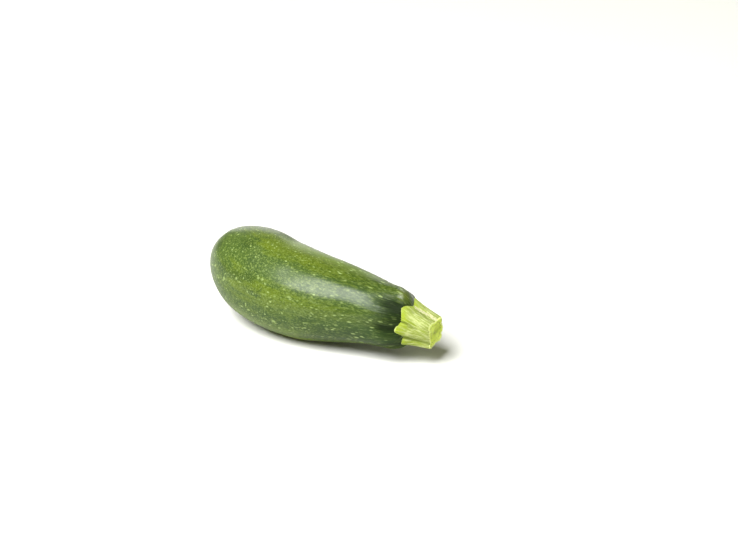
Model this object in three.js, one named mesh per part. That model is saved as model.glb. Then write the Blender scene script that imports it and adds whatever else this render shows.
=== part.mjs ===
// A courgette as picked, lying on its side: the club-shaped fruit and the cut stub of its stem.
// Millimetres, +Z up. +X runs from the blossom end to the stem, and the fruit rests on Z = 0.
import * as THREE from "three";

// Fruit: fat towards the blossom end, with a slim neck and a slight shoulder round the stem.
const FRUIT_LENGTH = 130.5;
const FAT_RADIUS = 26.9;
const NECK_RADIUS = 17.4;
const SHOULDER_RADIUS = 17.7;
const TAPER_START = 0.36; // these four are shares of the fruit's length
const TAPER_END = 0.94;
const SHOULDER_AT = 0.93;
const SHOULDER_SPREAD = 0.09;
const BLOSSOM_CAP = { depth: 38, power: 2.15 }; // a power of 2 is an ellipse, more is squarer
const STEM_CAP = { depth: 13.5, power: 2.3 };

// How it lies: the belly is on the ground, and both ends curl up from it.
const SIDE_BEND = -8.0;
const BLOSSOM_LIFT = 16.2;
const BLOSSOM_LIFT_FROM = 0.43;
const STEM_LIFT = 8.0;
const STEM_LIFT_FROM = 0.43;
const STEM_LIFT_TO = 0.84;
const FLAT_SINK = 1.5; // how deep the belly is flattened where it lay and where it rests
const FLAT_EDGE = 0.25; // the height over which the flat runs into the round skin

// Long ribs on the fruit, and the bulges of the shoulder between the points of the stem's foot.
const RIBS = 5;
const RIB_HEIGHT = 0.016;
const RIB_TURN = 130;
const BULGES = 6;
const BULGE_HEIGHT = 0.03;
const BULGE_TURN = 30;
const BULGE_FROM = 0.72;

// The dry scar of the blossom: a shallow dimple with a button in it.
const DIMPLE = { depth: 1.3, radius: 6.5 };
const BUTTON = { height: 0.9, radius: 3.0 };

// Stem: six ribs that flare into the points of a star-shaped foot, twist a little and run up
// to the cut, which the knife made not quite square to them.
const STEM_LENGTH = 13.2;
const STEM_DROOP = 16;
const STEM_SIDE = 3;
const STEM_TWIST = 9;
const CUT_DROOP = 4;
const CUT_SIDE = 0;
const FLARE = 1.2;
const GAP = 0.35;

// The stem's ribs and valleys in turn: where they are round it, how far the foot reaches over
// the shoulder as a share of its radius, the cut's radius, and how much of a rib it is.
const STEM_OUTLINE = [
  { turn: 50, foot: 0.76, cut: 9.2, rib: 1 },
  { turn: 92, foot: 0.55, cut: 8.0, rib: 0 },
  { turn: 128, foot: 0.84, cut: 11.0, rib: 1 },
  { turn: 152, foot: 0.8, cut: 8.0, rib: 0.4 },
  { turn: 180, foot: 0.91, cut: 7.0, rib: 1 },
  { turn: 199, foot: 0.74, cut: 6.8, rib: 0 },
  { turn: 224, foot: 0.82, cut: 9.6, rib: 1 },
  { turn: 266, foot: 0.62, cut: 7.0, rib: 0 },
  { turn: 305, foot: 0.84, cut: 9.0, rib: 1 },
  { turn: 330, foot: 0.68, cut: 7.0, rib: 0 },
  { turn: 360, foot: 0.8, cut: 7.2, rib: 1 },
  { turn: 386, foot: 0.6, cut: 7.0, rib: 0 },
];

// How finely the skins are divided.
const AROUND = 72;
const CAP_RINGS = 14;
const TRUNK_RINGS = 16;
const FOOT_RINGS = 7;
const STEM_RINGS = 8;

const rad = THREE.MathUtils.degToRad;
const { lerp, smoothstep } = THREE.MathUtils;
const angles = Array.from({ length: AROUND }, (_, i) => (2 * Math.PI * i) / AROUND);

// The fruit's radius where neither end closes it, without its shoulder and with it.
function taperRadius(s) {
  return lerp(FAT_RADIUS, NECK_RADIUS, smoothstep(s / FRUIT_LENGTH, TAPER_START, TAPER_END));
}

function trunkRadius(s) {
  const shoulder = Math.exp(-(((s / FRUIT_LENGTH - SHOULDER_AT) / SHOULDER_SPREAD) ** 2));
  return taperRadius(s) + (SHOULDER_RADIUS - NECK_RADIUS) * shoulder;
}

// How high the underside is over the ground: zero along the belly.
function lift(s) {
  const t = s / FRUIT_LENGTH;
  const blossom = Math.max(0, 1 - t / BLOSSOM_LIFT_FROM) ** 2;
  return BLOSSOM_LIFT * blossom + STEM_LIFT * smoothstep(t, STEM_LIFT_FROM, STEM_LIFT_TO);
}

// The line through the fruit's middle, and the three directions of a ring on it.
function spine(s) {
  const t = s / FRUIT_LENGTH;
  const side = SIDE_BEND * 4 * t * (1 - t);
  return new THREE.Vector3(s, side, taperRadius(s) + lift(s) - FLAT_SINK);
}

function directions(s) {
  const step = 0.5;
  const along = spine(s + step).sub(spine(s - step)).normalize();
  const side = new THREE.Vector3(-along.y, along.x, 0).normalize();
  return { along, side, up: new THREE.Vector3().crossVectors(along, side) };
}

// Relief on the skin, as a share of the radius: ribs along the fruit, bulges on its shoulder,
// and the slow unevenness of something grown.
function relief(s, angle) {
  const t = s / FRUIT_LENGTH;
  const ribs = RIB_HEIGHT * smoothstep(t, 0, 0.35) * Math.cos(RIBS * (angle - rad(RIB_TURN)));
  const near = smoothstep(t, BULGE_FROM, SHOULDER_AT);
  const bulges = BULGE_HEIGHT * near * Math.cos(BULGES * (angle - rad(BULGE_TURN)));
  const uneven = 0.008 * Math.sin(2 * angle + 1 + 4 * t) + 0.005 * Math.sin(3 * angle + 9 * t);
  return 1 + ribs * (1 - 0.5 * near) + bulges + uneven;
}

// The flat of the belly: heights below the ground come up to it, with a soft edge.
function flatten(z) {
  if (z > FLAT_EDGE) return z;
  return z < -FLAT_EDGE ? 0 : (z + FLAT_EDGE) ** 2 / (4 * FLAT_EDGE);
}

// A point of the fruit's skin. share is 1 along the trunk and falls to 0 at the tip of a cap.
function skinPoint(s, share, angle) {
  const { along, side, up } = directions(s);
  const radius = trunkRadius(s) * share * relief(s, angle);
  const point = spine(s);
  point.addScaledVector(side, radius * Math.cos(angle));
  point.addScaledVector(up, radius * Math.sin(angle));
  if (s < BLOSSOM_CAP.depth) point.addScaledVector(along, scarDepth(radius));
  point.z = flatten(point.z);
  return point;
}

function scarDepth(radius) {
  const dimple = DIMPLE.depth * Math.exp(-((radius / DIMPLE.radius) ** 2));
  return dimple - BUTTON.height * Math.exp(-((radius / BUTTON.radius) ** 4));
}

// Where a cap's ring of this share lies, measured from its tip.
function capDepth(cap, share) {
  return cap.depth * (1 - (1 - share ** cap.power) ** (1 / cap.power));
}

function capShare(cap, k) {
  return Math.sin((Math.PI / 2) * k ** 1.25) ** (2 / cap.power);
}

// A closed skin over rings of points, from a point at one end to a point at the other.
function closedSkin(first, rings, last) {
  const points = [first, ...rings.flat(), last];
  const index = [];
  const at = (ring, i) => 1 + ring * AROUND + (i % AROUND);
  for (let i = 0; i < AROUND; i++) {
    index.push(0, at(0, i + 1), at(0, i));
    for (let ring = 0; ring < rings.length - 1; ring++) {
      index.push(at(ring, i), at(ring, i + 1), at(ring + 1, i));
      index.push(at(ring, i + 1), at(ring + 1, i + 1), at(ring + 1, i));
    }
    index.push(points.length - 1, at(rings.length - 1, i), at(rings.length - 1, i + 1));
  }
  const geometry = new THREE.BufferGeometry().setFromPoints(points);
  geometry.setIndex(index);
  geometry.computeVertexNormals();
  return geometry;
}

function fruitGeometry() {
  const stations = [];
  for (let k = 1; k <= CAP_RINGS; k++) {
    const share = capShare(BLOSSOM_CAP, k / CAP_RINGS);
    stations.push([capDepth(BLOSSOM_CAP, share), share]);
  }
  const trunkEnd = FRUIT_LENGTH - STEM_CAP.depth;
  for (let k = 1; k < TRUNK_RINGS; k++) {
    stations.push([lerp(BLOSSOM_CAP.depth, trunkEnd, k / TRUNK_RINGS), 1]);
  }
  for (let k = CAP_RINGS; k >= 1; k--) {
    const share = capShare(STEM_CAP, k / CAP_RINGS);
    stations.push([FRUIT_LENGTH - capDepth(STEM_CAP, share), share]);
  }
  const rings = stations.map(([s, share]) => angles.map((a) => skinPoint(s, share, a)));
  return closedSkin(skinPoint(0, 0, 0), rings, skinPoint(FRUIT_LENGTH, 0, 0));
}

// One column of the stem's outline at an angle round it, eased from each row to the next.
function stemOutline(column, angle) {
  const first = STEM_OUTLINE[0];
  const rows = [...STEM_OUTLINE, { ...first, turn: first.turn + 360 }];
  const turn = first.turn + ((THREE.MathUtils.radToDeg(angle) - first.turn + 360) % 360);
  const after = rows.findIndex((row) => row.turn > turn);
  const [from, to] = [rows[after - 1], rows[after]];
  return lerp(from[column], to[column], smoothstep(turn, from.turn, to.turn));
}

// A point of the stem's underside, on the fruit's end and the gap off it. reach 1 is the edge.
function footPoint(reach, angle) {
  const share = reach * stemOutline("foot", angle);
  const point = skinPoint(FRUIT_LENGTH - capDepth(STEM_CAP, share), share, angle);
  const heart = spine(FRUIT_LENGTH - STEM_CAP.depth);
  return point.addScaledVector(point.clone().sub(heart).normalize(), GAP);
}

// The direction +X turned down by droop and towards +Y by side, in degrees.
function leaning(droop, side) {
  const turn = new THREE.Euler(0, rad(droop), rad(side), "ZYX");
  return new THREE.Vector3(1, 0, 0).applyEuler(turn);
}

// A point of the flat cut across the stem's end.
function cutPoint(reach, angle) {
  const across = leaning(CUT_DROOP, CUT_SIDE);
  const side = new THREE.Vector3(-across.y, across.x, 0).normalize();
  const up = new THREE.Vector3().crossVectors(across, side);
  const radius = reach * stemOutline("cut", angle);
  const turned = angle + rad(STEM_TWIST);
  const point = spine(FRUIT_LENGTH).addScaledVector(leaning(STEM_DROOP, STEM_SIDE), STEM_LENGTH);
  point.addScaledVector(side, radius * Math.cos(turned));
  return point.addScaledVector(up, radius * Math.sin(turned));
}

// A point of the stem's side, from its foot at 0 to the cut at 1. The flare is a waist that
// comes in quickly above the foot.
function stemPoint(up, angle) {
  const point = footPoint(1, angle).lerp(cutPoint(1, angle), up);
  const along = leaning(STEM_DROOP, STEM_SIDE);
  const middle = spine(FRUIT_LENGTH).addScaledVector(along, STEM_LENGTH * up);
  const inwards = middle.sub(point);
  inwards.addScaledVector(along, -inwards.dot(along)).normalize();
  const flare = FLARE * (Math.sqrt(up) - up) * (0.5 + stemOutline("rib", angle));
  return point.addScaledVector(inwards, flare);
}

function stemGeometry() {
  const rings = [];
  for (let k = 1; k <= FOOT_RINGS; k++) {
    rings.push(angles.map((a) => footPoint(k / FOOT_RINGS, a)));
  }
  for (let k = 1; k <= STEM_RINGS; k++) {
    rings.push(angles.map((a) => stemPoint((k / STEM_RINGS) ** 1.4, a)));
  }
  return closedSkin(footPoint(0, 0), rings, cutPoint(0, 0));
}

function piece(name, geometry, material) {
  const mesh = new THREE.Mesh(geometry, material);
  mesh.name = name;
  return mesh;
}

const fruitSkin = new THREE.MeshStandardMaterial({ color: 0x587a2a, roughness: 0.38 });
const stemFlesh = new THREE.MeshStandardMaterial({ color: 0xc2d05a, roughness: 0.6 });
const courgette = new THREE.Group();
courgette.add(piece("fruit", fruitGeometry(), fruitSkin));
courgette.add(piece("stem", stemGeometry(), stemFlesh));

// The origin is under the middle of the part's box.
const box = new THREE.Box3().setFromObject(courgette, true);
const middle = box.getCenter(new THREE.Vector3());
for (const mesh of courgette.children) mesh.position.set(-middle.x, -middle.y, -box.min.z);

export default courgette;
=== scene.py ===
import math

import bpy
import numpy as np
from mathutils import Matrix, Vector


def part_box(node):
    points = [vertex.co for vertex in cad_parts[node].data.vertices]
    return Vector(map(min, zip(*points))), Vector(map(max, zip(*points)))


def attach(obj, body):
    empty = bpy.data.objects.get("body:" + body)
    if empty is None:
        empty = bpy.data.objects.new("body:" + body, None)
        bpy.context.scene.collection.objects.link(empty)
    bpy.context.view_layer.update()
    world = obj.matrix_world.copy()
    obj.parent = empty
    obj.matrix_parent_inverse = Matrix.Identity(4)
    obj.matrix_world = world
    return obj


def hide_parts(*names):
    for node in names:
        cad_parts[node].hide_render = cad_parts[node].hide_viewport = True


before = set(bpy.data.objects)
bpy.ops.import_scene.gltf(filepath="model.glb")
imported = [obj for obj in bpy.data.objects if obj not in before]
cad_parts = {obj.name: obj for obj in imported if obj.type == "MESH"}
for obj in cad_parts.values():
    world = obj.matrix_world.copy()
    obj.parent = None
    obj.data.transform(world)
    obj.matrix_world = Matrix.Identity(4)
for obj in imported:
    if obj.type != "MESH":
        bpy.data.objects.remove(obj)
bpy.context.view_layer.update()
scene = bpy.context.scene


# Camera: a long lens looking down on the courgette from its near right, with the stem end
# nearest. It is turned round the part's origin and then moved sideways and up, in metres.
AZIMUTH = math.radians(33.5)
ELEVATION = math.radians(26.0)
DISTANCE = 1.134
AIM_RIGHT, AIM_ABOVE = 0.0281, 0.0338
FOCAL_LENGTH, SENSOR_WIDTH = 97.56, 36

level = math.cos(ELEVATION)
back = Vector((math.sin(AZIMUTH) * level, -math.cos(AZIMUTH) * level, math.sin(ELEVATION)))
right = Vector((math.cos(AZIMUTH), math.sin(AZIMUTH), 0))
above = back.cross(right)
aim = right * AIM_RIGHT + above * AIM_ABOVE
lens = bpy.data.cameras.new("camera")
lens.lens = FOCAL_LENGTH
lens.sensor_width = SENSOR_WIDTH
lens.clip_start = 0.05
lens.clip_end = 20
camera = bpy.data.objects.new("camera", lens)
camera.location = aim + back * DISTANCE
camera.rotation_euler = back.to_track_quat("Z", "Y").to_euler()
scene.collection.objects.link(camera)
scene.camera = camera


# Fruit: a young courgette's body, firm watery flesh in a thin waxy skin. It is grown, so it is
# laid up here ring by ring on a bent line. Sizes are in millimetres, turns round the fruit in
# degrees, and places along it are shares of its length, counted from the blossom end.
FRUIT_LENGTH = 130.5
FAT_RADIUS = 26.9
NECK_RADIUS = 17.4
TAPER_FROM, TAPER_TO = 0.36, 0.94
SHOULDER_RADIUS = 17.7
SHOULDER_AT, SHOULDER_SPREAD = 0.93, 0.09
BLOSSOM_DEPTH, BLOSSOM_POWER = 38, 2.15
SHOULDER_DEPTH, SHOULDER_POWER = 13.5, 2.3
SIDE_BEND = -8.0
BLOSSOM_LIFT, STEM_LIFT = 16.2, 8.0
LOWEST_AT, LIFTED_AT = 0.43, 0.84
FLAT_SINK, FLAT_EDGE = 1.5, 0.25
RIBS, RIB_HEIGHT, RIB_TURN = 5, 0.016, 130
BULGES, BULGE_HEIGHT, BULGE_TURN, BULGE_FROM = 6, 0.03, 30, 0.72
DIMPLE_DEPTH, DIMPLE_RADIUS = 1.3, 6.5
BUTTON_HEIGHT, BUTTON_RADIUS = 0.9, 3.0


def ramp(value, low, high):
    """A soft step from 0 at low to 1 at high. Low may be the larger of the two."""
    share = np.clip((value - low) / (high - low), 0, 1)
    return share * share * (3 - 2 * share)


def hump(value, middle, width):
    """1 in the middle, and soon 0 beyond the width."""
    return np.exp(-(((value - middle) / width) ** 2))


def away_from(angle, turn):
    return np.abs((angle - turn + 3 * np.pi) % (2 * np.pi) - np.pi)


def band(angle, turn, width):
    """A hump at a turn round the piece. The angle is in radians, turn and width in degrees."""
    return hump(away_from(angle, np.radians(turn)), 0, math.radians(width))


def taper_radius(s):
    return FAT_RADIUS + (NECK_RADIUS - FAT_RADIUS) * ramp(s / FRUIT_LENGTH, TAPER_FROM, TAPER_TO)


def trunk_radius(s):
    shoulder = hump(s / FRUIT_LENGTH, SHOULDER_AT, SHOULDER_SPREAD)
    return taper_radius(s) + (SHOULDER_RADIUS - NECK_RADIUS) * shoulder


def middle_line(s):
    t = s / FRUIT_LENGTH
    lift = BLOSSOM_LIFT * np.maximum(0, 1 - t / LOWEST_AT) ** 2
    lift = lift + STEM_LIFT * ramp(t, LOWEST_AT, LIFTED_AT)
    return np.stack([s, SIDE_BEND * 4 * t * (1 - t), taper_radius(s) + lift - FLAT_SINK], -1)


def unit(vectors):
    return vectors / np.linalg.norm(vectors, axis=-1, keepdims=True)


def ring_directions(s):
    """The direction of the middle line, and the two directions of the ring that stands on it."""
    along = unit(middle_line(s + 0.5) - middle_line(s - 0.5))
    side = unit(np.stack([-along[..., 1], along[..., 0], 0 * s], -1))
    return along, side, np.cross(along, side)


def relief(s, angle):
    """The ribs, the bulges of the shoulder and a slow unevenness, as a factor on the radius."""
    t = s / FRUIT_LENGTH
    near_stem = ramp(t, BULGE_FROM, SHOULDER_AT)
    ribs = RIB_HEIGHT * ramp(t, 0, 0.35) * np.cos(RIBS * (angle - math.radians(RIB_TURN)))
    bulges = BULGE_HEIGHT * near_stem * np.cos(BULGES * (angle - math.radians(BULGE_TURN)))
    uneven = 0.008 * np.sin(2 * angle + 1 + 4 * t) + 0.005 * np.sin(3 * angle + 9 * t)
    return 1 + ribs * (1 - 0.5 * near_stem) + bulges + uneven


def skin_point(s, share, angle):
    """A point of the skin. The share is 1 along the trunk and falls to 0 at the tip of an end."""
    s, share, angle = np.broadcast_arrays(s, share, angle)
    along, side, up = ring_directions(s)
    radius = trunk_radius(s) * share * relief(s, angle)
    dimple = DIMPLE_DEPTH * np.exp(-((radius / DIMPLE_RADIUS) ** 2))
    dimple = dimple - BUTTON_HEIGHT * np.exp(-((radius / BUTTON_RADIUS) ** 4))
    dimple = np.where(s < BLOSSOM_DEPTH, dimple, 0)
    point = middle_line(s) + side * (radius * np.cos(angle))[..., None]
    point = point + up * (radius * np.sin(angle))[..., None] + along * dimple[..., None]
    z = point[..., 2]
    soft_edge = (z + FLAT_EDGE) ** 2 / (4 * FLAT_EDGE)
    point[..., 2] = np.where(z > FLAT_EDGE, z, np.where(z < -FLAT_EDGE, 0, soft_edge))
    return point


def cap_depth(depth, power, share):
    """How far inside the tip of an end its ring of this share lies."""
    return depth * (1 - (1 - share ** power) ** (1 / power))


def cap_shares(power, count):
    """The shares of the rings of an end, from its tip outwards, close together at the tip."""
    return np.sin(np.pi / 2 * (np.arange(1, count + 1) / count) ** 1.25) ** (2 / power)


AROUND = 360
BLOSSOM_RINGS, TRUNK_RINGS, SHOULDER_RINGS = 62, 122, 46

angles = np.arange(AROUND) * 2 * np.pi / AROUND
blossom = cap_shares(BLOSSOM_POWER, BLOSSOM_RINGS)
shoulder = cap_shares(SHOULDER_POWER, SHOULDER_RINGS)[::-1]
trunk = np.linspace(BLOSSOM_DEPTH, FRUIT_LENGTH - SHOULDER_DEPTH, TRUNK_RINGS + 2)[1:-1]
ring_s = np.concatenate([
    cap_depth(BLOSSOM_DEPTH, BLOSSOM_POWER, blossom),
    trunk,
    FRUIT_LENGTH - cap_depth(SHOULDER_DEPTH, SHOULDER_POWER, shoulder)])
ring_share = np.concatenate([blossom, np.ones(TRUNK_RINGS), shoulder])
S, A = np.meshgrid(ring_s, angles, indexing="ij")
T = S / FRUIT_LENGTH
SHARE = np.repeat(ring_share[:, None], AROUND, 1)
rings = skin_point(S, SHARE, A)

# Growth leaves faint swellings and dents all over, none of them at the floor or at the tips,
# and shallow facets along the trunk.
SWELLINGS, SWELL_HEIGHT = 26, 0.028
FACETS, FACET_DEPTH = 15, 0.07

grown = np.random.default_rng(7)
swell = np.zeros_like(S)
for _ in range(SWELLINGS):
    long_wave = grown.uniform(0.04, 0.28)
    round_wave = grown.integers(1, 8)
    phase = grown.uniform(0, 6.28, 2)
    wave = np.sin(long_wave * S + phase[0]) * np.cos(round_wave * A + phase[1])
    swell += wave * grown.uniform(0.3, 1)
swell *= SWELL_HEIGHT * ramp(rings[..., 2], 0.2, 3) * ramp(SHARE, 0.05, 0.4)
facets = np.cos(FACETS * (A - math.radians(RIB_TURN)))
swell -= FACET_DEPTH * facets * ramp(T, 0.3, 0.5) * ramp(T, 0.9, 0.75)

# The ribs and valleys of the stem in turn: where they are round it, how far its foot reaches
# over the shoulder, the radius of the cut, and how much of a rib it is.
STEM_OUTLINE = np.array([
    (50, 0.76, 9.2, 1),
    (92, 0.55, 8.0, 0),
    (128, 0.84, 11.0, 1),
    (152, 0.80, 8.0, 0.4),
    (180, 0.91, 7.0, 1),
    (199, 0.74, 6.8, 0),
    (224, 0.82, 9.6, 1),
    (266, 0.62, 7.0, 0),
    (305, 0.84, 9.0, 1),
    (330, 0.68, 7.0, 0),
    (360, 0.80, 7.2, 1),
    (386, 0.60, 7.0, 0),
    (410, 0.76, 9.2, 1)])

# Each point of the stem's foot draws the skin in, in a narrow crease within a wide one. The
# shoulder stands up in one small bump and in fine folds all round.
NARROW_DEPTH, NARROW_WIDTH = 0.55, 8
WIDE_DEPTH, WIDE_WIDTH = 0.75, 17
BUMP_HEIGHT = 0.5
FOLD_HEIGHT = 0.06


def foot_creases(width):
    """How hard the points of the stem's foot grip the skin, at every point of the rings."""
    grip = np.zeros_like(A)
    for turn, reach, _, rib in STEM_OUTLINE[:-1]:
        if rib == 1:
            grip += band(A, turn, width) * (reach - 0.5) * 2.8
    return grip * ramp(T, 0.80, SHOULDER_AT)


creases = NARROW_DEPTH * foot_creases(NARROW_WIDTH) + WIDE_DEPTH * foot_creases(WIDE_WIDTH)
swell -= creases * ramp(SHARE, 0.80, 0.93)
swell += BUMP_HEIGHT * band(A, 100, 11.46) * hump(T, 0.955, 0.03)
folds = np.cos(53 * A + 3 * np.sin(5 * A)) + 0.8 * np.cos(83 * A + 4 * np.sin(3 * A))
swell += FOLD_HEIGHT * folds * ramp(T, 0.80, 0.97)

# The far flank is fuller along the neck, and slimmer just behind the fat end.
FULLER, SLIMMER = 1.15, 0.85
far_flank = FULLER * hump(T, 0.70, 0.15) - SLIMMER * hump(T, 0.37, 0.11)
swell += far_flank * band(A, 66, 28.65)

_, side, up = ring_directions(S)
rings += (side * np.cos(A)[..., None] + up * np.sin(A)[..., None]) * swell[..., None]
rings[..., 2] = np.maximum(rings[..., 2], 0)


def closed_skin(name, rings, first, last):
    """A closed mesh over rings of points, with one point at each end. Millimetres in, metres out."""
    count, around = rings.shape[:2]
    points = np.concatenate([first[None], rings.reshape(-1, 3), last[None]])
    at = 1 + np.arange(count * around).reshape(count, around)
    after = np.roll(at, -1, 1)
    walls = np.stack([at[:-1], after[:-1], after[1:], at[1:]], -1).reshape(-1, 4)
    start = np.stack([after[0], at[0]], -1)
    finish = np.stack([at[-1], after[-1]], -1)
    faces = [(0, *pair) for pair in start.tolist()] + walls.tolist()
    faces += [(len(points) - 1, *pair) for pair in finish.tolist()]
    mesh = bpy.data.meshes.new(name)
    mesh.from_pydata((points * 0.001).tolist(), [], faces)
    mesh.shade_smooth()
    return mesh


def note(mesh, name, first, parts, last):
    """Stores three numbers at every point of a closed skin, for its finish to read."""
    rings = np.stack(np.broadcast_arrays(*parts), -1).reshape(-1, 3)
    values = np.concatenate([np.array(first)[None], rings, np.array(last)[None]])
    stored = mesh.attributes.new(name, "FLOAT_VECTOR", "POINT")
    stored.data.foreach_set("vector", values.astype(np.float32).ravel())


# The fruit is moved sideways until its low corner is that of the solid one.
low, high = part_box("fruit")
offset = np.array([*low[:2], 0]) * 1000 - [*rings.reshape(-1, 3).min(0)[:2], 0]
blossom_tip = skin_point(0.0, 0.0, 0.0) + offset
stem_tip = skin_point(FRUIT_LENGTH, 0.0, 0.0) + offset
fruit_mesh = closed_skin("fruit_skin", rings + offset, blossom_tip, stem_tip)

# The skin rolled out, in millimetres: round like the fruit, and its length drawn together
# towards the stem, so that what is round at the blossom end is a dash at the shoulder.
END_RADIUS = 20
DASH_STRETCH = 2.2

arc = np.cumsum(np.hypot(np.diff(ring_s), np.diff(ring_share) * END_RADIUS))
arc = np.concatenate([[0], arc])
stretch = 1 + DASH_STRETCH * ramp(ring_s / FRUIT_LENGTH, 0.3, 0.97)
length = np.concatenate([[0], np.cumsum(np.diff(arc) / stretch[1:])])
girth = (trunk_radius(ring_s) * np.where(ring_s < BLOSSOM_DEPTH, ring_share, 1))[:, None]
rolled = (girth * np.cos(A), girth * np.sin(A), length[:, None])
note(fruit_mesh, "rolled", (0, 0, 0), rolled, (0, 0, length[-1]))

# Where on the fruit a point is: its share of the length, how far between two ribs, and how much
# painted shade lies in the creases round the stem's grip, which the bump on the shoulder escapes.
between = (0.5 - 0.5 * np.cos(RIBS * (A - math.radians(RIB_TURN)))) * ramp(T, 0.04, 0.28)
# Painted shade: the olive bands thin out low on the near flank, so that it reads darker.
between *= 1 - 0.5 * band(A, 205, 40.1)
# The bump on the shoulder gets a painted glint in the ground spot's colour, and none of the painted
# crease shade.
bump = band(A, 97, 20.6) * hump(T, 0.95, 0.035)
painted_crease_shade = np.clip(foot_creases(WIDE_WIDTH), 0, 1) * (1 - 0.6 * band(A, 85, 28.65))
painted_crease_shade += 0.95 * ramp(T, 0.80, 0.94) * band(A, 143, 34.4) - 1.1 * bump
note(fruit_mesh, "place", (0, 0, 0), (T, between, painted_crease_shade), (1, 0, 1))

# Marks: the yellowish ground spot under the belly with a painted glint on the bump of the
# shoulder, the dry scar of the blossom, and darker patches. Each patch has a place along the
# fruit, a turn, a share of the length and a width.
SCAR_RADIUS = 3.3
PATCHES = (
    (0.15, 166, 0.05, 9),
    (0.24, 160, 0.05, 7),
    (0.31, 153, 0.04, 6),
    (0.19, 120, 0.05, 12),
    (0.59, 182, 0.05, 7),
    (0.13, 20, 0.06, 20),
    (0.30, 300, 0.06, 12))

belly = band(A, 268, 48.7) * ramp(T, 0.12, 0.3) * ramp(T, 0.8, 0.55)
at_blossom = S < BLOSSOM_DEPTH
scar = np.where(at_blossom, np.exp(-((trunk_radius(S) * SHARE / SCAR_RADIUS) ** 4)), 0)
patch = sum(hump(T, at, reach) * band(A, turn, width) for at, turn, reach, width in PATCHES)
note(fruit_mesh, "marks", (0, 1, 0), (belly + bump, scar, patch), (0, 0, 0))

# The wax is thick above and rubbed off below. The near flank is darkened with painted shade,
# apart from one band of painted light low along it, and a band of painted reflection lies on
# the far side of the top. The crest that faces the light is smoother than the rest.
bloom = 1 - 0.95 * band(A, 245, 54.4)
# Painted light: a band low on the near flank stands in for light thrown up from the floor, and a band
# on the far side of the top for a reflected rim.
painted_light_bands = band(A, 209, 14.9) * ramp(T, 0.12, 0.3) * ramp(T, 0.66, 0.52)
painted_light_bands += 0.9 * band(A, 73, 11.46) * ramp(T, 0.25, 0.4) * ramp(T, 0.9, 0.75)
painted_shade_and_light = band(A, 196, 35.5) * ramp(T, 0.1, 0.4) - 1.6 * painted_light_bands
crest = band(A, 134, 17.2) * ramp(T, 0.3, 0.45)
note(fruit_mesh, "wax", (0, 0, 0), (bloom, painted_shade_and_light, crest), (0, 0, 0))


class Value:
    """One output of a node, so that sums on it can be written as plain arithmetic."""

    def __init__(self, finish, socket):
        self.finish = finish
        self.socket = socket

    def sum(self, operation, *values):
        return self.finish.node("ShaderNodeMath", {"operation": operation}, *values)

    def __add__(self, other):
        return self.sum("ADD", self, other)

    def __mul__(self, other):
        return self.sum("MULTIPLY", self, other)

    def __sub__(self, other):
        return self.sum("SUBTRACT", self, other)

    def __rsub__(self, other):
        return self.sum("SUBTRACT", other, self)

    __radd__ = __add__
    __rmul__ = __mul__

    def step(self, low, high, start=0.0, end=1.0):
        """A soft step from start to end as the value goes from low to high."""
        soft = {"interpolation_type": "SMOOTHSTEP"}
        return self.finish.node("ShaderNodeMapRange", soft, self, low, high, start, end)


class Finish:
    """A material, built by adding nodes in front of one Principled shader."""

    def __init__(self, name, **fixed):
        self.material = bpy.data.materials.new(name)
        self.material.use_nodes = True
        self.tree = self.material.node_tree
        self.shader = self.tree.nodes["Principled BSDF"]
        for socket, value in fixed.items():
            self.shader.inputs[socket.replace("_", " ")].default_value = value

    def feed(self, socket, value):
        if isinstance(value, Value):
            self.tree.links.new(value.socket, socket)
        else:
            socket.default_value = value

    def node(self, kind, settings, *values, out=0, **named):
        """A node with its settings and its inputs, by number or by name, and one of its outputs."""
        node = self.tree.nodes.new(kind)
        for key, value in settings.items():
            setattr(node, key, value)
        for key, value in [*enumerate(values), *named.items()]:
            self.feed(node.inputs[key], value)
        return Value(self, node.outputs[out])

    def noted(self, name):
        """The vector stored on the mesh under a name."""
        return self.node("ShaderNodeAttribute", {"attribute_name": name}, out="Vector")

    def noted_parts(self, name):
        """The three numbers of the vector stored on the mesh under a name."""
        vector = self.noted(name)
        return [self.node("ShaderNodeSeparateXYZ", {}, vector, out=i) for i in range(3)]

    def drawn_out(self, vector, share):
        """The vector with only a share of its length, so that a pattern on it is drawn out."""
        return self.node("ShaderNodeVectorMath", {"operation": "MULTIPLY"}, vector, (1, 1, share))

    def noise(self, vector, scale, detail, rough, twist=0.0):
        return self.node("ShaderNodeTexNoise", {}, Vector=vector, Scale=scale, Detail=detail,
                         Roughness=rough, Distortion=twist)

    def mix(self, share, one, other):
        """A colour between two: colours are (r, g, b) or the result of another mix."""
        node = self.tree.nodes.new("ShaderNodeMix")
        node.data_type = "RGBA"
        self.feed(node.inputs[0], share)
        for place, colour in ((6, one), (7, other)):
            self.feed(node.inputs[place], (*colour, 1) if isinstance(colour, tuple) else colour)
        return Value(self, node.outputs[2])

    def speckles(self, vector, cell, size, soft, share):
        """Round spots about one to a cell, of mixed sizes, in only a share of the cells."""
        cells = {"Vector": vector, "Scale": 1 / cell}
        distance = self.node("ShaderNodeTexVoronoi", {"feature": "F1"}, out="Distance", **cells)
        chance = self.node("ShaderNodeTexVoronoi", {"feature": "F1"}, out="Color", **cells)
        pick = self.node("ShaderNodeSeparateColor", {}, chance, out=0)
        strength = self.node("ShaderNodeSeparateColor", {}, chance, out=1)
        spot = distance.step(size - soft, size + soft, 1.0, 0.0)
        return spot * pick.step(1 - share, 1.02 - share) * (strength * 0.6 + 0.4)

    def wear(self, colour, roughness, height, depth, coat=0.0):
        """The finished material: its colour, roughness, fine relief and coat of wax."""
        bump = self.node("ShaderNodeBump", {}, Strength=1.0, Distance=depth, Height=height)
        worn = {"Base Color": colour, "Roughness": roughness, "Normal": bump, "Coat Weight": coat}
        for socket, value in worn.items():
            self.feed(self.shader.inputs[socket], value)
        return self.material


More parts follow.
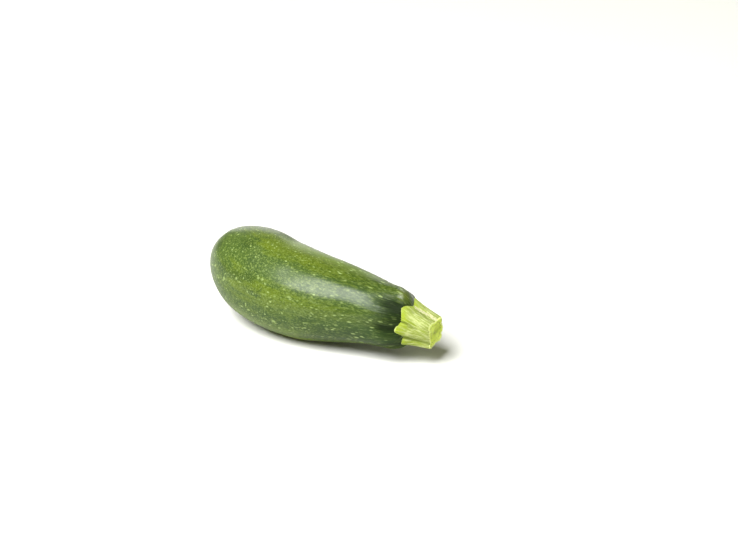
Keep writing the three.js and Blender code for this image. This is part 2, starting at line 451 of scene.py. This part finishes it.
OLIVE = (0.092, 0.132, 0.006)
LEAF = (0.047, 0.081, 0.015)
SHADE = (0.020, 0.042, 0.008)
NIGHT = (0.008, 0.016, 0.003)
PAINTED_LIGHT = (0.125, 0.185, 0.022)
PALE_GRAIN = (0.135, 0.186, 0.038)
FLECK = (0.25, 0.33, 0.105)
GROUND_SPOT_AND_PAINTED_GLINT = (0.17, 0.21, 0.03)
CORK = (0.24, 0.17, 0.075)
OLD_CORK = (0.07, 0.045, 0.02)
PORE_DEPTH = 0.0001

skin = Finish("courgette_skin", IOR=1.45, Specular_IOR_Level=0.1, Coat_IOR=1.45, Coat_Roughness=0.25,
              Subsurface_Weight=0.06, Subsurface_Radius=(0.0016, 0.002, 0.0006), Subsurface_Scale=1.0)
roll = skin.noted("rolled")
t, valley, grip = skin.noted_parts("place")
ground_and_glint, cork, dim = skin.noted_parts("marks")
bloom, painted_shade_and_light, crest = skin.noted_parts("wax")
streaks = skin.noise(skin.drawn_out(roll, 0.16), 0.42, 3, 0.6)
hair_lines = skin.noise(skin.drawn_out(roll, 0.10), 1.7, 2, 0.6)
clouds = skin.noise(roll, 0.055, 3, 0.55, 0.6)
mottle = skin.noise(roll, 0.78, 3, 0.7)
grain = skin.noise(roll, 1.5, 2, 0.6)

# Leaf green with olive bands between the ribs, and clouds, hair lines and patches over them.
banding = (valley * 0.88 + (streaks - 0.5) * 1.6 + (clouds - 0.5) * 0.8).step(0.15, 0.85)
base = skin.mix(banding, LEAF, OLIVE)
base = skin.mix((clouds + (mottle - 0.5) * 0.5).step(0.46, 0.30) * 0.75, base, SHADE)
base = skin.mix(hair_lines.step(0.52, 0.75) * 0.3, base, OLIVE)
base = skin.mix((t * 0.5 - hair_lines - streaks * 0.4).step(-0.5, -0.1) * 0.55, base, SHADE)
base = skin.mix((dim + (mottle - 0.5) * 0.9).step(0.2, 1.1) * 0.75, base, SHADE)

# A fine grain of pale and dark points, quieter at the blossom end and on the crest.
pitted = ((mottle - 0.5) * 4.2 + (grain - 0.5) * 4.6) * (1 - crest * 0.4)
pitted = pitted * t.step(0.05, 0.4, 0.72, 1.0)
base = skin.mix(pitted.step(-0.1, 1.0) * 0.9, base, PALE_GRAIN)
base = skin.mix(pitted.step(0.1, -1.0) * 0.6, base, SHADE)

# The painted shade on the near flank, the bands of painted light, the ground spot with the
# painted glint on the shoulder's bump, and near black at the stem: partly its own darker end,
# partly painted shade in the creases round the stem's foot.
# Painted shade: the near flank is mixed towards SHADE.
base = skin.mix(painted_shade_and_light * 0.42, base, SHADE)
# Painted light: the two bands are mixed towards a pale green.
base = skin.mix((painted_shade_and_light + (streaks - 0.5) * 0.5).step(0.0, -1.1) * 0.6, base, PAINTED_LIGHT)
# The ground spot, and a painted glint on the shoulder's bump.
ground_spot_and_glint = (ground_and_glint + (clouds - 0.5) * 0.8 + (streaks - 0.5) * 0.5).step(0.42, 0.95)
base = skin.mix(ground_spot_and_glint * 0.6, base, GROUND_SPOT_AND_PAINTED_GLINT)
base = skin.mix((t + (streaks - 0.5) * 0.4).step(0.45, 0.95) * 0.45, base, SHADE)
# Near black at the stem: partly the skin's own darker stem end, partly painted shade in the creases
# round the stem's foot.
dark = (t + (streaks - 0.5) * 0.25).step(0.82, 0.97) * 0.25
dark = dark + grip * (hair_lines * 1.6 + streaks * 0.8 - 0.62)
bare = dark.step(0.1, 0.8)
base = skin.mix(dark.step(0.0, 1.1), base, NIGHT)

# Pale speckles of three sizes, fewer on the crest and where the skin is nearly black.
dust = skin.speckles(roll, 1.5, 0.24, 0.12, 0.85)
dots = skin.speckles(roll, 2.7, 0.19, 0.07, 0.9)
spots = skin.speckles(roll, 5.6, 0.15, 0.07, 0.6)
flecks = (dust * 0.55 + dots * 0.8 + spots * (0.9 - t * 0.5)) * (1 - crest * 0.6)
flecks = (flecks * (clouds.step(0.3, 0.62) * 0.5 + 0.7)).step(0.0, 1.0)
base = skin.mix(flecks * (1 - bare * 0.7), base, FLECK)

# The dry scar of the blossom.
base = skin.mix((cork + (mottle - 0.5) * 0.7).step(0.35, 0.6), base, CORK)
base = skin.mix(((grain - 0.5) * 5 + cork).step(0.5, 1.6) * cork, base, OLD_CORK)

shine = 0.64 + (mottle - 0.5) * 0.12 + (streaks - 0.5) * 0.1 + cork * 0.3 + flecks * 0.08
shine = shine + bare * 0.16 - bloom * 0.3
wax = (0.66 + (mottle - 0.5) * 0.45 + (hair_lines - 0.5) * 0.5) * (1 - bare) * (1 - cork) * bloom
pores = (mottle - 0.5) * 0.6 + (grain - 0.5) * 0.35 + flecks * 0.35 + (hair_lines - 0.5) * 0.5
fruit_mesh.materials.append(skin.wear(base, shine, pores, PORE_DEPTH, wax))

fruit = bpy.data.objects.new("courgette_fruit", fruit_mesh)
scene.collection.objects.link(fruit)
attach(fruit, "root")
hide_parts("fruit")


# Stem: the stub left by the knife, tough and fibrous, with six ribs. Their feet are grown
# into the shoulder of the fruit, and the cut end shows the ring of vessels inside.
STEM_LENGTH = 13.2
STEM_DROOP, STEM_SIDE, STEM_TWIST = 16, 3, 9
CUT_DROOP, CUT_SIDE = 4, 0
FOOT_SINK = 0.45
FLARE = 1.2
LIP = 0.75
FOOT_REACH, CUT_RADIUS, RIB_SHARE = 1, 2, 3


def stem_outline(column, angle):
    """One column of the stem's outline at angles round it, eased from each row to the next."""
    turns, values = STEM_OUTLINE[:, 0], STEM_OUTLINE[:, column]
    turn = turns[0] + (np.degrees(angle) - turns[0]) % 360
    after = np.clip(np.searchsorted(turns, turn, side="right"), 1, len(turns) - 1)
    share = ramp(turn, turns[after - 1], turns[after])
    return values[after - 1] * (1 - share) + values[after] * share


def foot_point(reach, angle):
    """A point of the foot, sunk a little into the shoulder, and the direction out of the skin."""
    share = reach * stem_outline(FOOT_REACH, angle)
    s = FRUIT_LENGTH - cap_depth(SHOULDER_DEPTH, SHOULDER_POWER, share)
    point = skin_point(s, share, angle)
    outward = unit(point - middle_line(np.array(FRUIT_LENGTH - SHOULDER_DEPTH)))
    return point - outward * FOOT_SINK, outward


def leaning(droop, side):
    """The direction along the fruit, turned down and to the side by degrees."""
    droop, side = math.radians(droop), math.radians(side)
    level = math.cos(droop)
    return np.array([level * math.cos(side), level * math.sin(side), -math.sin(droop)])


axis = leaning(STEM_DROOP, STEM_SIDE)
cut_axis = leaning(CUT_DROOP, CUT_SIDE)
across = unit(np.array([-cut_axis[1], cut_axis[0], 0]))
upward = np.cross(cut_axis, across)
pole = middle_line(np.array(FRUIT_LENGTH))
heart = pole + axis * STEM_LENGTH


def cut_point(angle):
    """A point on the edge of the cut."""
    radius = stem_outline(CUT_RADIUS, angle)
    turned = angle + math.radians(STEM_TWIST)
    sideways = across * (radius * np.cos(turned))[..., None]
    return heart + sideways + upward * (radius * np.sin(turned))[..., None]


# Rings run on the foot's underside, up the sides, and in over the cut.
STEM_AROUND = 432
UNDER, UP, FACE = 7, 110, 25

stem_angles = np.arange(STEM_AROUND) * 2 * np.pi / STEM_AROUND
U, B = np.meshgrid((np.arange(1, UP + 1) / UP) ** 1.5, stem_angles, indexing="ij")
foot, outward = foot_point(1.0, B)
wall = foot + (cut_point(B) - foot) * U[..., None]
inward = pole + axis * STEM_LENGTH * U[..., None] - wall
inward = unit(inward - axis * (inward @ axis)[..., None])
rib_here = stem_outline(RIB_SHARE, B)
wall += inward * (FLARE * (np.sqrt(U) - U) * (0.5 + rib_here))[..., None]
lip = LIP * (1 - np.exp(-U / 0.02)) * (1 - U) ** 2 * (0.35 + 0.65 * rib_here)
wall += outward * lip[..., None]

# Fibres run up the sides: fine even ones, and strands that wander, start and end anywhere.
STRANDS = 90

fibres = 0.06 * np.cos(97 * B + 1.5 * np.sin(3 * B + 5 * U))
fibres += 0.05 * np.cos(61 * B + 2 * np.sin(2 * B + 4 * U))
cutting = np.random.default_rng(11)
for _ in range(STRANDS):
    turn, wander, width, size = cutting.uniform((0, -0.12, 0.018, -0.26), (6.28, 0.12, 0.065, 0.22))
    start, end = np.sort(cutting.uniform(-0.4, 1.4, 2))
    strand = hump(away_from(B, turn + wander * U), 0, width)
    fibres += size * strand * ramp(U, start, start + 0.15) * ramp(U, end, end - 0.15)

# The valleys between the ribs, and splits in the ribs: their turn at the foot and at the cut,
# the shares of the height where they start and end, their width and their depth.
VALLEYS = (
    (155, 149, 0.1, 0.5, 3.0, 0.14),
    (144, 141, 0.15, 0.45, 2.0, 0.16),
    (163, 156, 0.2, 0.7, 2.0, 0.2),
    (199, 208, -0.1, 1.2, 4.0, 0.50),
    (120, 121, 0.08, 0.5, 3.0, 0.25),
    (104, 106, 0.1, 0.9, 3.0, 0.25),
    (266, 275, -0.1, 1.2, 7.0, 0.5),
    (330, 335, -0.1, 1.2, 6.0, 0.45),
    (20, 20, -0.1, 1.2, 7.0, 0.45),
    (186, 183, 0.3, 0.8, 2.5, 0.2))

for low_turn, high_turn, start, end, width, size in VALLEYS:
    split = band(B, low_turn + (high_turn - low_turn) * U, width)
    fibres -= size * split * ramp(U, start, start + 0.1) * ramp(U, end, end - 0.15)
grooves = np.clip(-fibres / 0.5, 0, 1)
wall -= inward * (fibres * ramp(U, 0.0, 0.08) * (1 - 0.4 * U))[..., None]

# The knife rounded the edge of the cut, tore it, and left a burr on one side.
EDGE_ROUND = 0.35
BURR_LENGTH, BURR_TURN, BURR_WIDTH = 0.7, -20, 4.01

edge = EDGE_ROUND * ramp(U, 0.955, 1.0) ** 2
edge -= BURR_LENGTH * band(B, BURR_TURN, BURR_WIDTH) * ramp(U, 0.9, 1.0)
wall += inward * edge[..., None]
torn = 0.16 * np.cos(17 * B + 1) + 0.14 * np.cos(29 * B + 2)
torn += 0.10 * np.cos(53 * B) + 0.08 * np.cos(88 * B + 3)
wall += cut_axis * (torn * ramp(U, 0.93, 1.0))[..., None]

# The cut is a shallow hollow in a low rim, with a ring of vessels, and rough all over.
HOLLOW = 0.5
RIM_HEIGHT, RIM_AT = 0.2, 0.95
VESSELS, VESSEL_HEIGHT, VESSELS_AT = 18, 0.16, 0.68
ROUGH = 0.05

inner = np.linspace(1, 0, FACE + 2)[1:-1, None]
from_heart = wall[-1] - heart
raised = from_heart @ cut_axis
face = heart + (from_heart - raised[:, None] * cut_axis) * inner[..., None]
out_of_cut = raised * inner ** 8 - HOLLOW * (1 - inner ** 3)
out_of_cut += 0.1 * np.cos(5 * stem_angles + 1) * np.sin(9 * inner)
out_of_cut += RIM_HEIGHT * hump(inner, RIM_AT, 0.05)
out_of_cut += VESSEL_HEIGHT * np.cos(VESSELS * stem_angles) * hump(inner, VESSELS_AT, 0.08)
out_of_cut += ROUGH * cutting.normal(size=(FACE, STEM_AROUND))
face += cut_axis * out_of_cut[..., None]

reaches = np.arange(1, UNDER + 1) / (UNDER + 1)
under = np.stack([foot_point(reach, stem_angles)[0] for reach in reaches])
stem_rings = np.concatenate([under, wall, face]) + offset
foot_middle = foot_point(0.0, np.array(0.0))[0] + offset
cut_middle = heart - cut_axis * HOLLOW + offset
stem_mesh = closed_skin("stem_stub", stem_rings, foot_middle, cut_middle)


def up_the_stem(under, sides, face):
    """A number for every ring of the stem: the underside, the sides and the cut."""
    parts = (np.broadcast_to(under, UNDER), sides, np.broadcast_to(face, FACE))
    return np.concatenate(parts)[:, None]


# Round and along the stem in millimetres, and where a point is: its share of the height, how
# far up a rib, and how far in on the cut.
SPREAD = 11
HEIGHT_LENGTH, CUT_LENGTH = 20, 9

going_in = 1 - inner[:, 0]
spread = up_the_stem(np.linspace(0.1, 1, UNDER), np.ones(UP), inner[:, 0]) * SPREAD
depth = up_the_stem(0, U[:, 0] * HEIGHT_LENGTH, HEIGHT_LENGTH + going_in * CUT_LENGTH)
turned = (spread * np.cos(stem_angles), spread * np.sin(stem_angles), depth)
note(stem_mesh, "round", (0, 0, 0), turned, (0, 0, depth[-1, 0]))
height = up_the_stem(0, U[:, 0], 1)
cut_in = up_the_stem(0, np.zeros(UP), going_in)
rib = stem_outline(RIB_SHARE, stem_angles)
note(stem_mesh, "place", (0, 0, 0), (height, rib, cut_in), (1, 0, 1))

# Marks: a worn whitish streak up one rib, the cut with its edge, and the grooves.
worn = band(stem_angles, 95 - 12 * height, 10.3) * ramp(height, 0.02, 0.12) * (cut_in < 0.02)
is_cut = up_the_stem(0, ramp(U[:, 0], 0.985, 1), 1)
groove = np.pad(grooves, ((UNDER, FACE), (0, 0)))
note(stem_mesh, "marks", (0, 0, 0), (worn, is_cut, groove), (0, 1, 0))

PALE = (0.30, 0.345, 0.105)
LIME = (0.20, 0.26, 0.012)
MOSS = (0.105, 0.14, 0.008)
STRAW = (0.46, 0.50, 0.21)
FOOT_GREEN = (0.27, 0.35, 0.012)
FOOT_EDGE = (0.52, 0.57, 0.22)
BARE = (0.52, 0.50, 0.30)
CUT = (0.80, 0.94, 0.14)
WET_CUT = (0.68, 0.83, 0.09)
CUT_RIM = (0.78, 0.86, 0.32)
VESSEL = (0.20, 0.27, 0.03)
FIBRE_DEPTH = 0.0007

flesh = Finish("stem_flesh", IOR=1.4, Subsurface_Weight=0.1,
               Subsurface_Radius=(0.002, 0.002, 0.0008), Subsurface_Scale=1.0)
turn = flesh.noted("round")
rise, rib, inwards = flesh.noted_parts("place")
rubbed, cut, groove = flesh.noted_parts("marks")
strands = flesh.noise(flesh.drawn_out(turn, 0.17), 0.62, 3, 0.7)
threads = flesh.noise(flesh.drawn_out(turn, 0.13), 1.45, 2, 0.6)
patches = flesh.noise(turn, 0.22, 2, 0.5)
crumbs = flesh.noise(turn, 0.9, 3, 0.7)

# Pale ribs and green valleys, with streaks and threads along them.
tone = flesh.mix((rib * 0.45 + (strands - 0.5) * 2.8 + rise * 0.4).step(-0.1, 0.85), LIME, PALE)
streaked = (strands - rib * 0.2 + (patches - 0.5) * 0.5).step(0.52, 0.66)
tone = flesh.mix(streaked * 0.6, tone, MOSS)
tone = flesh.mix(threads.step(0.5, 0.64) * 0.75, tone, STRAW)
tone = flesh.mix(threads.step(0.5, 0.36) * 0.8, tone, LIME)

# A greener foot with a pale edge, dark grooves, and the worn streak.
tone = flesh.mix((rise + (strands - 0.5) * 0.5).step(0.32, 0.04) * 0.75, tone, FOOT_GREEN)
tone = flesh.mix((groove + (strands - 0.5) * 0.9).step(0.12, 0.85) * 0.9, tone, MOSS)
tone = flesh.mix(rise.step(0.035, 0.0) * rise.step(0.0, 0.004) * 0.7, tone, FOOT_EDGE)
worn_off = (rubbed + (crumbs - 0.5) * 3.0 + (threads - 0.5) * 1.2).step(0.5, 1.0)
tone = flesh.mix(worn_off * 0.9, tone, BARE)

# The moist cut, its dry rim, and the ring of vessels.
end = flesh.mix(((crumbs - 0.5) * 3 + (strands - 0.5) * 1.5 + 0.5).step(0.0, 1.0), WET_CUT, CUT)
end = flesh.mix((inwards + (crumbs - 0.5) * 0.12).step(0.17, 0.05) * 0.9, end, CUT_RIM)
ring = inwards.step(0.24, 0.32) * inwards.step(0.44, 0.34)
end = flesh.mix(ring * strands.step(0.4, 0.6) * 0.55, end, VESSEL)
tone = flesh.mix(cut, tone, end)

dull = 0.55 + (crumbs - 0.5) * 0.2 - cut * 0.08
nap = (strands - 0.5) * 0.8 + (threads - 0.5) * 0.7 + (crumbs - 0.5) * 0.5
stem_mesh.materials.append(flesh.wear(tone, dull, nap, FIBRE_DEPTH))

stem = bpy.data.objects.new("courgette_stem", stem_mesh)
scene.collection.objects.link(stem)
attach(stem, "root")
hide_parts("stem")


# Floor and light: a white sheet under weak daylight. A broad key lamp high on the left throws
# the shadow to the right, and two weak lamps fill the sides. The rest are seen only in the
# wax: the sheen along the flank, the pale far edge and the glint on the shoulder.
FLOOR_REACH = 4
DAYLIGHT, DAYLIGHT_STRENGTH = (0.97, 1, 0.5, 1), 0.165
LAMP_AIM = Vector((0, 0, 0.03))

corners = [(-FLOOR_REACH, -FLOOR_REACH, 0), (FLOOR_REACH, -FLOOR_REACH, 0),
           (FLOOR_REACH, FLOOR_REACH, 0), (-FLOOR_REACH, FLOOR_REACH, 0)]
floor_mesh = bpy.data.meshes.new("floor")
floor_mesh.from_pydata(corners, [], [(0, 1, 2, 3)])
paper = Finish("white_paper", Base_Color=(0.72, 0.72, 0.70, 1), Roughness=0.9, Specular_IOR_Level=0.1)
floor_mesh.materials.append(paper.material)
floor = bpy.data.objects.new("floor", floor_mesh)
scene.collection.objects.link(floor)

world = bpy.data.worlds.new("daylight")
scene.world = world
world.use_nodes = True
sky = world.node_tree.nodes["Background"]
sky.inputs["Color"].default_value = DAYLIGHT
sky.inputs["Strength"].default_value = DAYLIGHT_STRENGTH


def softbox(name, direction, distance, size, power, gloss=True, fill=True):
    """A rectangular lamp that faces the courgette. Its direction is as the camera sees it:
    to the right, up and towards the camera. Sizes are in metres, the power in watts."""
    lamp = bpy.data.lights.new(name, "AREA")
    lamp.shape = "RECTANGLE"
    lamp.size, lamp.size_y = size
    lamp.energy = power
    towards = (right * direction[0] + above * direction[1] + back * direction[2]).normalized()
    piece = bpy.data.objects.new(name, lamp)
    piece.visible_glossy = gloss
    piece.visible_diffuse = fill
    piece.location = towards * distance + LAMP_AIM
    piece.rotation_euler = towards.to_track_quat("Z", "Y").to_euler()
    scene.collection.objects.link(piece)


softbox("sheen", (-0.41, 0.53, 0.74), 2.0, (0.75, 2.2), 65, fill=False)
softbox("key", (-0.38, 0.52, 0.76), 2.5, (1.4, 1.4), 157, gloss=False)
softbox("backdrop", (-0.10, 0.62, -0.78), 2.0, (0.9, 0.8), 3.5, fill=False)
softbox("far rim", (0.35, 0.70, -0.62), 2.0, (0.7, 0.7), 4.3, fill=False)
softbox("glint", (0.42, 0.79, 0.45), 2.0, (0.7, 0.7), 30, fill=False)
softbox("low", (-0.80, -0.04, 0.60), 2.5, (1.2, 0.8), 6, gloss=False)
softbox("side", (0.80, 0.30, 0.52), 2.5, (1.2, 1.2), 8, gloss=False)
scene.view_settings.view_transform = "Standard"
